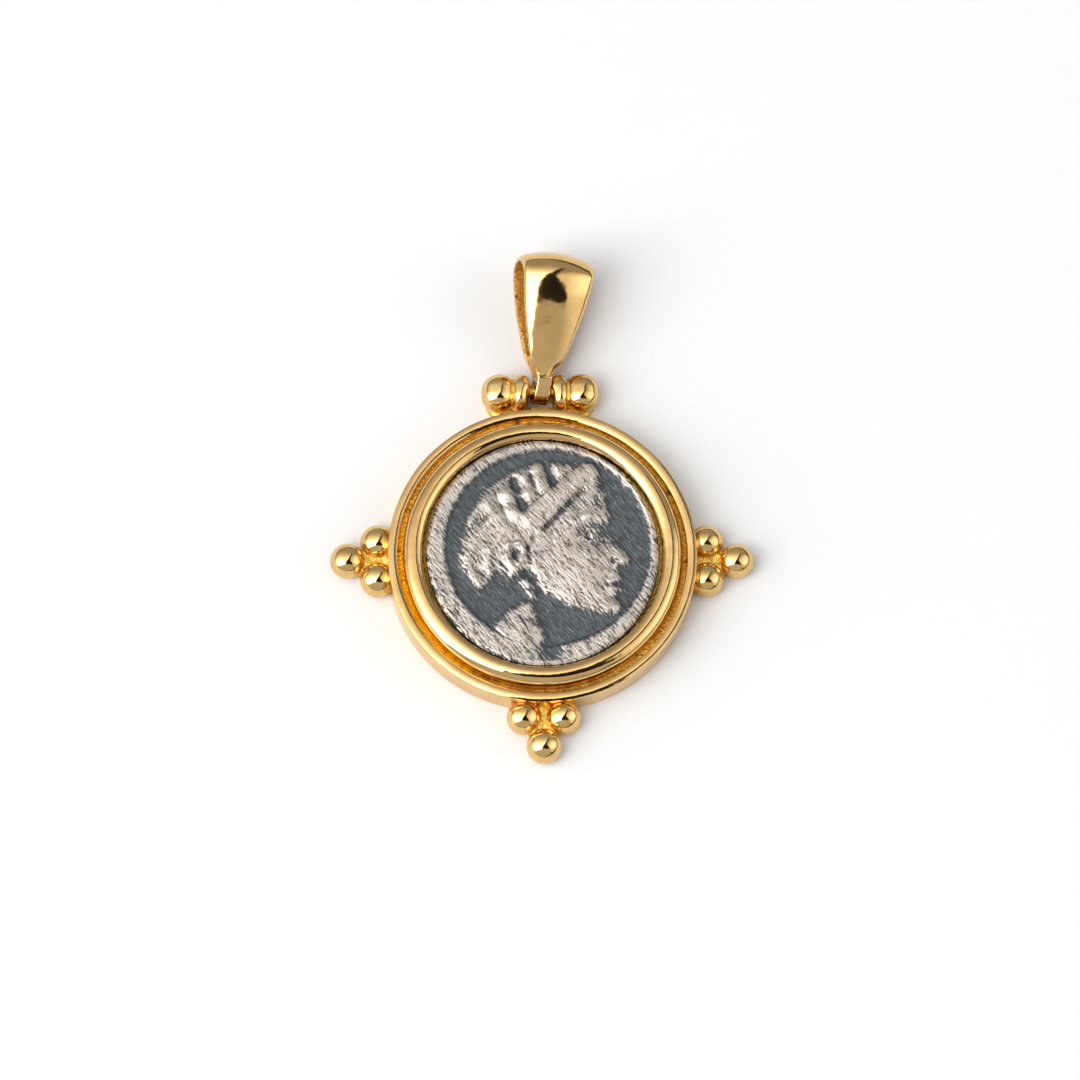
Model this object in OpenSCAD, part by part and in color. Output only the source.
// Coin pendant: a round cast setting with three groups of granules, an inset coin
// with a raised head in profile, and a tapered bail that swings on a hinge pin.
// The pendant lies on its back: the back face is the plane z = 0, the bail points
// along +Y, and the origin is the centre of the disc's back face. Millimetres.

/* [Disc] */
// Outer radius of the disc
disc_r = 9.66; // [9.5:0.02:9.8]
// Height of the crest of the raised rim
rim_h = 2.1; // [1.9:0.05:2.3]
// Thickness of the raised rim
rim_wall = 0.62; // [0.56:0.02:0.66]
// Radius of the rim's gently rounded top
rim_round = 0.75; // [0.6:0.05:1.2]
// How far the inner side of the rim leans, down to the channel
rim_slope = 0.04; // [0:0.02:0.1]
// Height of the floor of the channel between rim and bezel
channel_h = 1.6; // [1.4:0.05:1.7]
// Outer radius of the bezel
bezel_r = 8.7; // [8.6:0.02:8.8]
// Height of the bezel's crest
bezel_h = 2.8; // [2.6:0.05:3]
// Radius of the bezel's rounded top
bezel_round = 0.7; // [0.65:0.01:0.75]
// Radius of the pocket that holds the coin
pocket_r = 7.44; // [7.4:0.01:7.5]
// Height of the pocket's floor, which is the thickness of the back plate
pocket_h = 0.8; // [0.6:0.05:1]
// Chamfer round the back edge of the disc
back_chamfer = 0.15; // [0.1:0.05:0.2]

/* [Granules] */
// Radius of the granules in the three groups
granule_r = 1.1; // [1.05:0.01:1.15]
// Height of the granules' centres over the back face
granule_z = 0.72; // [0.6:0.02:0.9]
// Distance from the disc's centre to the outermost granule of a group
tip_reach = 12.14; // [12:0.02:12.3]
// Distance from the disc's centre to the line of a group's two inner granules
pair_reach = 10.27; // [10.1:0.02:10.4]
// Half the distance between the two inner granules
pair_half = 1.22; // [1.15:0.01:1.3]
// Height of the webs that join the granules to the disc
web_h = 0.95; // [0.8:0.05:1.1]
// Half the width of those webs between the inner granules and the outermost one
web_waist = 0.95; // [0.8:0.05:1.2]

/* [Hinge] */
// Distance from the disc's centre to the hinge axis
hinge_y = 11.2; // [11.1:0.02:11.3]
// Height of the hinge axis over the back face
hinge_z = 0.95; // [0.9:0.01:1]
// Half the gap between the two knuckles
gap_half = 0.74; // [0.74:0.01:0.76]
// Width of each collar beside the gap
collar_w = 0.9; // [0.84:0.01:0.92]
// Largest radius of a collar
collar_r = 1.06; // [1:0.01:1.07]
// Radius of a collar at its two faces
collar_face_r = 0.86; // [0.76:0.01:0.87]
// Radius of the balls at the ends of the hinge
end_ball_r = 1.1; // [1.05:0.01:1.12]
// Half the distance between the end balls
end_ball_x = 2.6; // [2.58:0.01:2.7]
// How far the knuckles are drawn out from the hinge axis towards the disc
knuckle_reach = 0.3; // [0.2:0.02:0.3]
// How far the drawn-out part of a collar keeps back from the gap
collar_step = 0.16; // [0.16:0.01:0.3]
// Radius of the core that joins each collar to its end ball
hinge_core_r = 0.78; // [0.7:0.02:0.85]
// Height of the webs that join the knuckles to the disc
hinge_web_h = 0.65; // [0.5:0.05:0.8]
// Distance from the disc's centre to the face of the wall that closes the gap behind the eye
gap_wall_y = 10.2; // [10.1:0.02:10.2]
// Height of that wall
gap_wall_h = 0.9; // [0.8:0.05:1]
// Radius of the hinge pin
pin_r = 0.38; // [0.36:0.01:0.39]
// Half the length of the hinge pin
pin_half = 2.3; // [2:0.1:2.4]

/* [Bail] */
// Distance from the pin to the middle of the strap at the top of the loop
bail_len = 8.62; // [8.5:0.02:8.8]
// Distance from the pin to the deepest place of the loop
bail_deep_y = 7.1; // [7:0.02:7.2]
// Half the depth of the loop at that place, to the middle of the strap
bail_deep_half = 2.16; // [2.1:0.01:2.16]
// Thickness of the strap
strap_t = 0.4; // [0.36:0.01:0.44]
// Half the depth of the loop at the pin, to the middle of the strap
strap_foot = 0.44; // [0.4:0.01:0.5]
// How far the middle of a strap 1 mm wide stands proud of its edges; a wider one stands up more
strap_dome = 0.2; // [0.18:0.005:0.205]
// Outer radius of the eye round the pin
eye_r = 0.84; // [0.82:0.01:0.86]
// Width of the eye
eye_w = 0.94; // [0.9:0.01:0.95]
// Radius of the hole through the eye
eye_hole_r = 0.56; // [0.55:0.01:0.57]
// Distance from the pin up to which the strap's two sides are one solid neck
neck_len = 2.1; // [1.8:0.1:2.3]
// Lean of the bail to the right, within the play of its hinge
bail_lean = 6.7; // [0:0.1:6.8]
// Roll of the bail about its own length, within the play of its hinge
bail_roll = 10.3; // [0:0.1:10.4]
// Rise of the bail from the pin, with which it rests on the table
bail_rise = 13.9; // [13.9:0.1:15]

/* [Coin] */
// Radius of the coin across its width
coin_rx = 7.22; // [7.1:0.02:7.36]
// Radius of the coin along the pendant
coin_ry = 7.38; // [7.1:0.02:7.38]
// Height of the coin's sunk field over the back face
field_h = 2.12; // [2:0.02:2.2]
// How far the coin's border stands over its field
border_rise = 0.34; // [0.2:0.02:0.4]
// How far the head's outline stands over the field
head_rise = 0.3; // [0.2:0.02:0.34]
// Turn of the head in its field, leaning back
head_turn = 8; // [0:1:15]
// Depth of the waves of the hair
wave_depth = 0.05; // [0:0.01:0.07]
// Squares across the grid of the coin's relief
coin_grid = 60; // [40:2:64]

/* [Hidden] */
gold = "#e0b54a";
silver = "#a8a29c";
pin_gap = 0.03;
seat_gap = 0.02;
web_start = 9.3;
rim_bevel = 0.03; // width of the steep edges beside the rim's top

function arc(cx, cy, r, from, to, steps) =
    [for (i = [0 : steps]) let (a = from + (to - from) * i / steps) [cx + r * cos(a), cy + r * sin(a)]];

// Section of the disc, as radius and height: back plate, rim, channel and bezel.
bezel_cx = bezel_r - bezel_round;
bezel_cz = bezel_h - bezel_round;
bezel_end = acos((pocket_r - bezel_cx) / bezel_round);
rim_turn = asin((rim_wall / 2 - rim_bevel) / rim_round);
disc_section = concat(
    [[0, 0], [disc_r - back_chamfer, 0], [disc_r, back_chamfer], [disc_r, rim_h - 5 * rim_bevel]],
    arc(disc_r - rim_wall / 2, rim_h - rim_round, rim_round, 90 - rim_turn, 90 + rim_turn, 8),
    [[disc_r - rim_wall, rim_h - 5 * rim_bevel], [disc_r - rim_wall - rim_slope, channel_h]],
    [[bezel_r, channel_h]],
    arc(bezel_cx, bezel_cz, bezel_round, 0, bezel_end, 10),
    [[pocket_r, pocket_h], [0, pocket_h]]
);

module disc() {
    rotate_extrude($fn = 180) polygon(disc_section);
}

// One group: two granules beside the disc, one beyond them, and their web.
module granule_group() {
    for (place = [[-pair_half, pair_reach], [pair_half, pair_reach], [0, tip_reach]])
        translate([place[0], place[1], granule_z]) sphere(r = granule_r, $fn = 48);
    inner = pair_half + 0.6 * granule_r;
    waist_y = (pair_reach + tip_reach) / 2;
    linear_extrude(web_h) polygon([
        [-inner, web_start], [-inner, pair_reach], [-web_waist, waist_y], [-0.4, tip_reach],
        [0.4, tip_reach], [web_waist, waist_y], [inner, pair_reach], [inner, web_start]
    ]);
}

// A collar of the given width about the X axis, rounded like a barrel.
module collar(width) {
    bulge = collar_r - collar_face_r;
    round_r = (width * width / 4 + bulge * bulge) / (2 * bulge);
    swing = asin(width / 2 / round_r);
    rotate([0, 90, 0]) rotate_extrude($fn = 60)
        polygon(concat(
            [[0, -width / 2]],
            arc(collar_r - round_r, 0, round_r, -swing, swing, 6),
            [[0, width / 2]]));
}

// Collar, end ball and web on one side of the gap, for x above 0. The collar and the
// ball stand twice, so that they are drawn out towards the disc.
module knuckle() {
    collar_x = gap_half + collar_w / 2;
    translate([collar_x, hinge_y, hinge_z]) collar(collar_w);
    translate([collar_x + collar_step / 2, hinge_y - knuckle_reach, hinge_z]) collar(collar_w - collar_step);
    for (back = [0, knuckle_reach]) {
        translate([end_ball_x, hinge_y - back, hinge_z]) sphere(r = end_ball_r - 0.2 * back, $fn = 48);
        translate([collar_x, hinge_y - back, hinge_z]) rotate([0, 90, 0])
            cylinder(r = hinge_core_r, h = end_ball_x - collar_x, $fn = 48);
    }
    linear_extrude(hinge_web_h) polygon([
        [gap_half, web_start], [gap_half, hinge_y], [end_ball_x, hinge_y],
        [end_ball_x + 0.85, hinge_y - 0.55], [end_ball_x + 0.75, hinge_y - 1],
        [end_ball_x + 0.25, web_start + 0.1], [end_ball_x + 0.2, web_start - 0.4]
    ]);
}

// Low wall between the knuckles, just outside the disc and clear of the eye.
module gap_wall() {
    translate([-gap_half - 0.1, web_start, 0]) cube([2 * gap_half + 0.2, gap_wall_y - web_start, gap_wall_h]);
}

module setting() {
    color(gold) difference() {
        union() {
            disc();
            for (turn = [90, 180, 270]) rotate([0, 0, turn]) granule_group();
            knuckle();
            mirror([1, 0, 0]) knuckle();
            gap_wall();
        }
        // The back is flat, so what is round is cut off at the back face.
        translate([-20, -20, -4]) cube([40, 40, 4]);
        translate([0, hinge_y, hinge_z]) rotate([0, 90, 0])
            cylinder(r = pin_r + pin_gap, h = 2 * (pin_half + pin_gap), center = true, $fn = 48);
    }
}

module hinge_pin() {
    color(gold) translate([0, hinge_y, hinge_z]) rotate([0, 90, 0])
        cylinder(r = pin_r, h = 2 * pin_half, center = true, $fn = 48);
}

// The head on the coin is drawn in its own directions: forward, which is where the
// face looks, and up, from the hole of the ear at ear_place. It is a general head in
// profile: the hairline, brow, base of the nose and chin are equally far apart, and
// the ear stands between the height of the brow and that of the base of the nose.
ear_place = [-1.84, -0.23];
third = 3.15;
brow_up = 1.6;
nose_up = brow_up - third;
chin_up = nose_up - third;
hair_up = brow_up + third - 0.3;
face = 6.5; // forward reach of the brow

head_outline = [ // forward, up
    [face - 0.25, hair_up], [face - 0.05, brow_up + 1.7], [face, brow_up + 0.1],
    [face - 0.3, brow_up - 0.65], [face + 0.3, brow_up - 1.7], [face + 0.85, nose_up + 0.45],
    [face + 0.75, nose_up + 0.05], [face, nose_up - 0.25], [face + 0.25, nose_up - 0.85],
    [face - 0.12, nose_up - 1.15], [face + 0.1, nose_up - 1.55], [face - 0.3, nose_up - 2],
    [face - 0.1, nose_up - 2.7], [face - 0.6, chin_up - 0.15], [face - 1.6, chin_up - 0.15],
    [3.3, -4.1], [2.1, -3.7], [1.35, -3], [1, -3.1], [1.1, -4.2], // jaw and front of the neck
    [1.4, -5.3], [1.6, -6.3], [1.9, -8], // foot of the neck
    [-2, -7], [-1.75, -5.3], [-2.1, -4.5], [-1.85, -3.9], // back of the neck
    [-0.8, -3.15], [0.3, -2.8], [0.15, -2.1], [-0.5, -1.6], // dark passage under the ear
    [-1.1, -1.1], [-1.7, -1.7], [-2.5, -2.15], [-3.2, -1.2], [-3.6, -0.1], [-3.5, 1.1], // hair
    [-3, 2.4], [-2, 4], [-0.6, 5.2], [0.9, 5.85], [2.2, 6.1], [3.2, 6.15], // crown
    [4.1, 5.75], [5, 5.85], [5.9, 5.6], [6.3, 5] // front of the hair and band
];

// Strokes of the relief: each is a ridge, or a groove where its height is below 0,
// along the line between two places, and it fades out over its half width.
band_strokes = [ // forward, up, forward, up, half width, height
    [1.35, 2.2, 5.8, 5.1, 0.5, 0.13],
    [2.2, 1.57, 4.9, 3.75, 0.17, -0.26],
    [1, 2.9, 5.2, 5.65, 0.14, -0.12]
];
lock_strokes = [ // forward, up, forward, up, half width, height
    [-0.3, 2, -1.1, 3.5, 0.45, 0.1],
    [0.55, 2.6, 0.1, 4.3, 0.42, 0.12],
    [1.55, 3.3, 1.3, 4.95, 0.4, 0.13],
    [2.55, 4, 2.35, 5.35, 0.38, 0.13],
    [3.6, 4.75, 3.5, 5.6, 0.36, 0.1],
    [0, 2.5, -0.5, 4.3, 0.14, -0.12],
    [1.05, 3.15, 0.75, 4.9, 0.3, -0.32],
    [1.15, 3.2, 1.35, 3.35, 0.36, -0.15],
    [2.1, 3.9, 1.85, 5.2, 0.15, -0.16],
    [3.2, 4.65, 2.95, 5.55, 0.32, -0.34]
];
ear_strokes = [ // forward, up, forward, up, half width, height
    [-0.2, 0.75, 0.45, 0.75, 0.16, 0.12],
    [0.45, 0.75, 0.7, 0.25, 0.15, 0.12],
    [-0.2, 0.75, -0.45, 0.1, 0.16, 0.12],
    [-0.45, 0.1, -0.15, -0.75, 0.16, 0.12],
    [0.55, -0.1, 0.3, -0.55, 0.14, 0.1],
    [0.1, -0.95, 0.1, -0.94, 0.24, 0.12],
    [0.08, 0, 0.12, 0.2, 0.2, -0.34],
    [1.5, 1.25, 1, 0.5, 0.14, -0.16],
    [1, 0.5, 0.95, -0.5, 0.13, -0.16],
    [0.6, -1.1, -0.2, -1.6, 0.24, -0.2]
];
jaw_strokes = [ // forward, up, forward, up, half width, height
    [0.9, -1.5, 1.3, -2.6, 0.25, -0.15],
    [1.3, -2.6, 2.6, -3.6, 0.3, -0.22],
    [0.8, -1.3, 0.9, -1.45, 0.3, -0.25],
    [4, -1.5, 4.2, -1.3, 1.3, 0.07],
    [2.9, -2.6, 3.6, -3.2, 0.9, 0.05]
];
eye = [face - 1.4, brow_up - 0.87]; // middle of the eye
eye_strokes = [ // forward, up, forward, up, half width, height
    [eye[0] - 1, brow_up + 0.05, eye[0] - 0.1, brow_up + 0.35, 0.3, 0.07],
    [eye[0] - 0.1, brow_up + 0.35, eye[0] + 1.1, brow_up + 0.05, 0.3, 0.08],
    [eye[0], eye[1], eye[0] + 0.4, eye[1], 0.62, -0.26],
    [eye[0] - 0.9, eye[1] - 0.23, eye[0] - 0.9, eye[1] - 0.22, 0.5, -0.08],
    [eye[0] + 0.05, eye[1], eye[0] + 0.15, eye[1], 0.3, 0.2],
    [eye[0] - 0.75, eye[1] - 0.08, eye[0] - 0.2, eye[1] + 0.39, 0.11, 0.12],
    [eye[0] - 0.2, eye[1] + 0.39, eye[0] + 0.65, eye[1] + 0.25, 0.11, 0.12],
    [eye[0] - 0.75, eye[1] - 0.08, eye[0] - 0.15, eye[1] - 0.41, 0.1, 0.09],
    [eye[0] - 0.15, eye[1] - 0.41, eye[0] + 0.6, eye[1] - 0.31, 0.1, 0.09]
];
mouth_up = nose_up - 1.14;
mouth_strokes = [ // forward, up, forward, up, half width, height
    [face + 0.25, nose_up + 0.3, face + 0.35, nose_up + 0.35, 0.3, 0.06],
    [face - 0.35, nose_up + 0.55, face - 0.45, nose_up - 0.05, 0.13, -0.1],
    [face - 0.5, nose_up - 0.15, face - 1, nose_up - 0.95, 0.16, -0.06],
    [face - 0.05, mouth_up, face - 0.95, mouth_up + 0.03, 0.11, -0.16],
    [face - 0.3, mouth_up + 0.3, face - 0.75, mouth_up + 0.25, 0.2, 0.05],
    [face - 0.3, mouth_up - 0.35, face - 0.75, mouth_up - 0.28, 0.2, 0.06],
    [face - 0.4, mouth_up - 0.86, face - 1, mouth_up - 0.8, 0.2, -0.07],
    [face - 0.7, chin_up + 0.5, face - 0.9, chin_up + 0.5, 0.6, 0.08]
];
strokes = concat(band_strokes, lock_strokes, ear_strokes, jaw_strokes, eye_strokes, mouth_strokes);

// Smooth step of v from 0 at a to 1 at b.
function smooth(v, a, b) = let (t = max(0, min(1, (v - a) / (b - a)))) t * t * (3 - 2 * t);

// Distance of the place p from the line between a and b.
function line_gap(p, a, b) =
    let (d = b - a, t = max(0, min(1, ((p - a) * d) / (d * d)))) norm(p - a - t * d);

// Whether the line from a to b is met by the line forward from the place p.
function is_cut(p, a, b) =
    (a[1] > p[1]) != (b[1] > p[1]) && p[0] < (b[0] - a[0]) * (p[1] - a[1]) / (b[1] - a[1]) + a[0];

// Distance from the outline of the head, above 0 inside it.
function outline_gap(p) =
    let (
        shape = head_outline,
        n = len(shape),
        gaps = [for (i = [0 : n - 1]) line_gap(p, shape[i], shape[(i + 1) % n])],
        cuts = [for (i = [0 : n - 1]) if (is_cut(p, shape[i], shape[(i + 1) % n])) 1])
    len(cuts) % 2 == 1 ? min(gaps) : -min(gaps);

function stroke_height(p, i = 0) = i == len(strokes) ? 0 :
    let (s = strokes[i], g = line_gap(p, [s[0], s[1]], [s[2], s[3]]) / s[4])
    (g > 3 ? 0 : s[5] * exp(-g * g)) + stroke_height(p, i + 1);

// Waves of the hair, in arcs about the ear.
function hair_wave(p) =
    let (
        reach = norm(p),
        turn = (atan2(p[1], p[0]) + 360) % 360,
        over_band = 0.839 * p[1] - 0.544 * p[0],
        where = smooth(reach, 1, 1.5) * max(smooth(over_band, 1.05, 1.3), smooth(-p[0], 0.35, 0.7))
            * smooth(turn, 60, 75) * (1 - smooth(turn, 245, 255)))
    wave_depth * where * sin(300 * reach + 50 * sin(3.2 * turn));

// Height of the coin's face over its field, at x and y.
function coin_height(x, y) =
    let (
        reach = 7.3 * norm([x / coin_rx, y / coin_ry]),
        border = border_rise * smooth(norm([x - 0.3, y - 0.4]), 6.2, 6.6) - 0.1 * smooth(reach, 7.1, 7.3),
        d = [x, y] - ear_place,
        p = [d[0] * cos(head_turn) + d[1] * sin(head_turn), d[1] * cos(head_turn) - d[0] * sin(head_turn)],
        inside = outline_gap(p),
        inner = smooth(inside, -0.12, 0.55),
        feature = inside > -0.05 ? (stroke_height(p) + hair_wave(p) * inner) * smooth(inside, 0, 0.3) : 0,
        head = head_rise * inner + 0.1 * smooth(inside, 0.3, 2.4) + feature,
        notch = 0.34 * exp(-pow(norm([x - 0.45, y + 6.35]) / 0.8, 2)))
    max(-0.1, max(head * (1 - smooth(reach, 6.6, 7.1)), border) - notch * smooth(-reach, -7.1, -6.9));

// Place on the coin of the grid's place u, v, which both run from -1 to 1.
function coin_place(u, v) =
    u == 0 && v == 0 ? [0, 0]
    : abs(u) >= abs(v) ? let (a = 45 * v / u) [coin_rx * u * cos(a), coin_ry * u * sin(a)]
    : let (a = 90 - 45 * u / v) [coin_rx * v * cos(a), coin_ry * v * sin(a)];

module coin() {
    n = coin_grid;
    low = pocket_h + seat_gap;
    top = [for (j = [0 : n], i = [0 : n]) let (p = coin_place(2 * i / n - 1, 2 * j / n - 1))
        [p[0], p[1], field_h + coin_height(p[0], p[1])]];
    rim_at = concat(
        [for (i = [0 : n - 1]) i],
        [for (j = [0 : n - 1]) j * (n + 1) + n],
        [for (i = [n : -1 : 1]) n * (n + 1) + i],
        [for (j = [n : -1 : 1]) j * (n + 1)]);
    count = len(rim_at);
    first = len(top);
    color(silver) polyhedron(
        points = concat(top, [for (k = rim_at) [top[k][0], top[k][1], low]]),
        faces = concat(
            [for (j = [0 : n - 1], i = [0 : n - 1]) let (a = j * (n + 1) + i) each
                [[a, a + n + 1, a + 1], [a + 1, a + n + 1, a + n + 2]]],
            [for (k = [0 : count - 1]) let (m = (k + 1) % count)
                [rim_at[k], rim_at[m], first + m, first + k]],
            [[for (k = [0 : count - 1]) first + k]]
        ));
}

// Width of the strap, by distance from the pin.
strap_table = [ // distance, width
    [0, 0.92], [0.75, 0.94], [1.35, 1.36], [1.9, 1.98], [3.3, 2.9],
    [4.7, 3.66], [6.2, 4.18], [7.8, 4.54], [8.7, 4.7]
];
SIDE_STEPS = 14;
TOP_STEPS = 16;
ACROSS = 8;
NECK_STEPS = 4;

// Middle line of the strap seen from the side, as distance from the pin and height:
// nearly straight from the eye, and rounding over towards the deepest place.
function side_point(s) = [s * bail_deep_y,
    strap_foot + (bail_deep_half - strap_foot) * (8 * s - pow(s, 8)) / 7];
function top_point(a) = [bail_deep_y + (bail_len - bail_deep_y) * sin(a), bail_deep_half * cos(a)];
bail_path = concat(
    [for (i = [0 : SIDE_STEPS - 1]) side_point(i / SIDE_STEPS)],
    [for (i = [0 : TOP_STEPS]) top_point(180 * i / TOP_STEPS)],
    [for (i = [SIDE_STEPS - 1 : -1 : 0]) let (p = side_point(i / SIDE_STEPS)) [p[0], -p[1]]]
);
PATH_LAST = len(bail_path) - 1;

// How far the edges of a strap of width w lie below its middle.
function strap_drop(w) = strap_dome * pow(w, 0.6);

// Outward direction of the path at each of its points.
function path_out(i) =
    let (a = bail_path[max(i - 1, 0)], b = bail_path[min(i + 1, PATH_LAST)], d = b - a, n = norm(d))
    i == 0 ? [0, 1] : i == PATH_LAST ? [0, -1] : [-d[1], d[0]] / n;

// One face of the strap at a point of the path, at the offset from its middle line.
function strap_face(i, offset) =
    let (p = bail_path[i], out = path_out(i), w = lookup(p[0], strap_table))
    [for (k = [0 : ACROSS]) let (u = 2 * k / ACROSS - 1, q = p + out * (offset - strap_drop(w) * u * u))
        [u * w / 2, q[0], q[1]]];

// Closed section of the strap: the outer face, then the inner face the other way.
function strap_section(i) =
    let (inner = strap_face(i, -strap_t / 2))
    concat(strap_face(i, strap_t / 2), [for (k = [ACROSS : -1 : 0]) inner[k]]);

// A solid through a list of closed sections with the same number of points.
module skin(sections) {
    n = len(sections[0]);
    last = len(sections) - 1;
    polyhedron(
        points = [for (s = sections) each s],
        faces = concat(
            [[for (k = [0 : n - 1]) k]],
            [for (i = [0 : last - 1], k = [0 : n - 1]) let (m = (k + 1) % n, a = i * n, b = a + n)
                [a + k, b + k, b + m, a + m]],
            [[for (k = [n - 1 : -1 : 0]) last * n + k]]
        ));
}

// Section of the solid neck between the two sides of the strap at distance y.
function neck_section(y) =
    let (
        w = lookup(y, strap_table),
        half = w / 2 - 0.07,
        mid = side_point(y / bail_deep_y)[1],
        edge = [for (k = [0 : ACROSS]) let (u = 2 * k / ACROSS - 1, v = 2 * u * half / w)
            [u * half, y, mid - strap_drop(w) * v * v]])
    concat(edge, [for (k = [ACROSS : -1 : 0]) [edge[k][0], y, -edge[k][2]]]);

module bail() {
    color(gold)
    translate([0, hinge_y, hinge_z])
    rotate([bail_rise, 0, 0]) rotate([0, 0, -bail_lean]) rotate([0, bail_roll, 0])
    difference() {
        union() {
            skin([for (i = [0 : PATH_LAST]) strap_section(i)]);
            skin([for (i = [0 : NECK_STEPS]) neck_section(0.3 + (neck_len - 0.3) * i / NECK_STEPS)]);
            rotate([0, 90, 0]) cylinder(r = eye_r, h = eye_w, center = true, $fn = 60);
        }
        rotate([0, 90, 0]) cylinder(r = eye_hole_r, h = 4, center = true, $fn = 60);
    }
}

setting();
coin();
hinge_pin();
bail();
